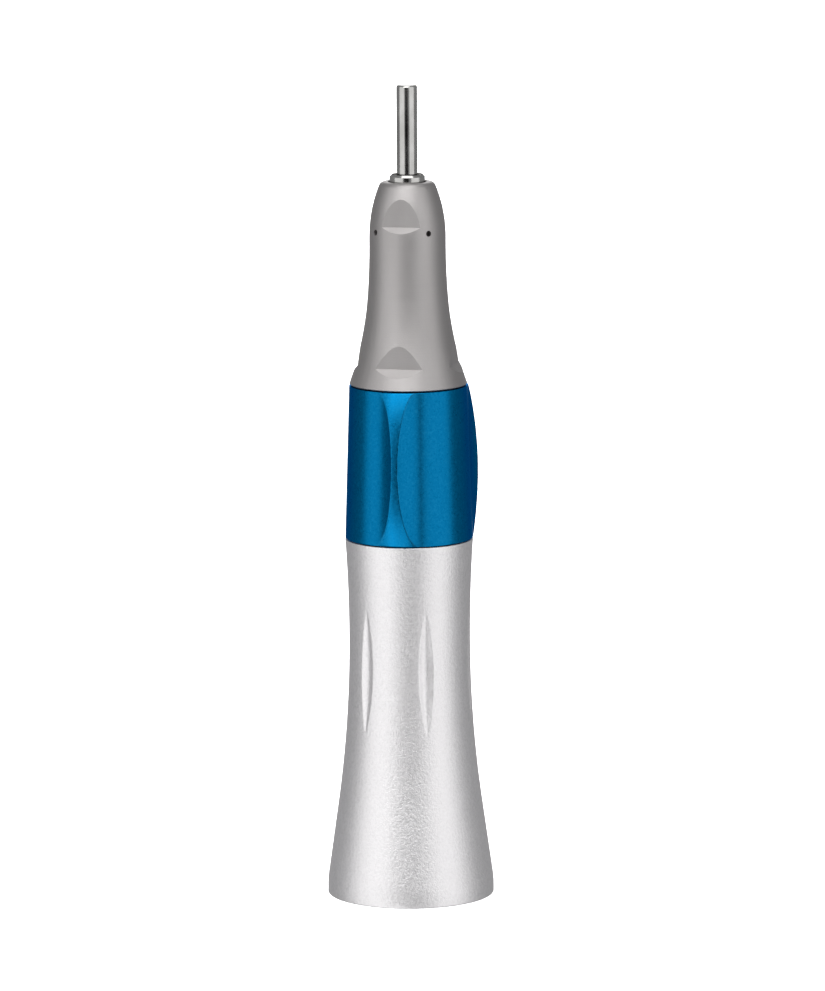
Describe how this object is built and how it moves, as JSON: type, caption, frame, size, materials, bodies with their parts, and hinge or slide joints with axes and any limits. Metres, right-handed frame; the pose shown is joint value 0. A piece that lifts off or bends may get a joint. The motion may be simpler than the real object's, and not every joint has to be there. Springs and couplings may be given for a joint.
{
  "type": "dental handpiece",
  "caption": "Straight low-speed dental handpiece with a ribbed twist ring that works its chuck, a rear coupling socket and a plain mandrel in the nose.",
  "frame": {"origin": "centre of the rear face, which the object stands on", "axes": "+Z along the axis from the rear face to the nose and the mandrel's tip; -Y is the front, where one rib of the twist ring, one flat of each wrench set and the space between two flutes lie"},
  "size_m": [0.019, 0.019, 0.0922],
  "materials": {
    "satin_steel": "satin, fine bead-blasted",
    "blasted_silver": "matt silver, fine bead-blasted",
    "anodised_blue": "anodised metallic blue, satin",
    "polished_steel": "ground and polished",
    "ground_steel": "fine turned",
    "bearing_steel": "lapped",
    "spring_steel": "drawn wire",
    "bronze": "turned",
    "cage_resin": "moulded",
    "seal_rubber": "moulded",
    "dark_steel": "turned, oiled"
  },
  "bodies": {
    "housing": {"rear_body": "blasted_silver", "coupling_insert": "ground_steel", "core_tube": "ground_steel", "nose_cone": "satin_steel", "outer_spacer": "ground_steel", "preload_washer": "spring_steel", "front_retainer": "dark_steel", "rear_nut": "dark_steel", "dust_shield": "ground_steel", "detent_clip": "spring_steel", "nose_seal": "seal_rubber", "body_seal": "seal_rubber", "ring_seal_front": "seal_rubber", "ring_seal_rear": "seal_rubber", "front_bearing_outer_ring": "bearing_steel", "middle_bearing_outer_ring": "bearing_steel", "rear_bearing_outer_ring": "bearing_steel"},
    "twist_ring": {"grip_ring": "anodised_blue", "cam_ring": "bronze"},
    "release_gear": {"release_sleeve": "ground_steel", "cam_pins": "ground_steel", "thrust_washer": "bronze"},
    "spindle_group": {"spindle": "polished_steel", "spring_seat": "ground_steel", "spindle_clip": "spring_steel", "chuck_spring": "spring_steel", "inner_spacer": "ground_steel", "drive_dog": "ground_steel", "dog_pin": "ground_steel", "front_bearing_inner_ring": "bearing_steel", "middle_bearing_inner_ring": "bearing_steel", "rear_bearing_inner_ring": "bearing_steel"},
    "chuck_group": {"chuck": "ground_steel", "cross_pin": "ground_steel", "thrust_collar": "ground_steel"},
    "mandrel": {"mandrel": "polished_steel"},
    "front_bearing_cage": {"front_bearing_cage": "cage_resin", "front_bearing_balls": "bearing_steel"},
    "middle_bearing_cage": {"middle_bearing_cage": "cage_resin", "middle_bearing_balls": "bearing_steel"},
    "rear_bearing_cage": {"rear_bearing_cage": "cage_resin", "rear_bearing_balls": "bearing_steel"}
  },
  "joints": [
    {"name": "ring_twist", "type": "hinge", "parent": "housing", "child": "twist_ring", "pos_m": [0, 0, 0.05], "axis": [0, 0, 1], "range_deg": [0, 30]},
    {"name": "release_slide", "type": "slide", "parent": "housing", "child": "release_gear", "axis": [0, 0, 1], "range_m": [0, 0.0008]},
    {"name": "spindle_spin", "type": "hinge", "parent": "housing", "child": "spindle_group", "pos_m": [0, 0, 0.06], "axis": [0, 0, 1], "continuous": true},
    {"name": "chuck_slide", "type": "slide", "parent": "spindle_group", "child": "chuck_group", "axis": [0, 0, 1], "range_m": [0, 0.0008], "deforming": ["chuck_spring"]},
    {"name": "mandrel_pull", "type": "slide", "parent": "chuck_group", "child": "mandrel", "axis": [0, 0, 1], "range_m": [0, 0.036]},
    {"name": "front_cage_spin", "type": "hinge", "parent": "housing", "child": "front_bearing_cage", "pos_m": [0, 0, 0.074], "axis": [0, 0, 1], "continuous": true},
    {"name": "middle_cage_spin", "type": "hinge", "parent": "housing", "child": "middle_bearing_cage", "pos_m": [0, 0, 0.068], "axis": [0, 0, 1], "continuous": true},
    {"name": "rear_cage_spin", "type": "hinge", "parent": "housing", "child": "rear_bearing_cage", "pos_m": [0, 0, 0.0357], "axis": [0, 0, 1], "continuous": true}
  ],
  "couplings": [
    {"joint": "release_slide", "follows": "ring_twist", "m_per_rad": 0.0011459},
    {"joint": "chuck_slide", "follows": "ring_twist", "m_per_rad": 0.0011459},
    {"joint": "front_cage_spin", "follows": "spindle_spin", "ratio": 0.39454},
    {"joint": "middle_cage_spin", "follows": "spindle_spin", "ratio": 0.39454},
    {"joint": "rear_cage_spin", "follows": "spindle_spin", "ratio": 0.38333}
  ]
}
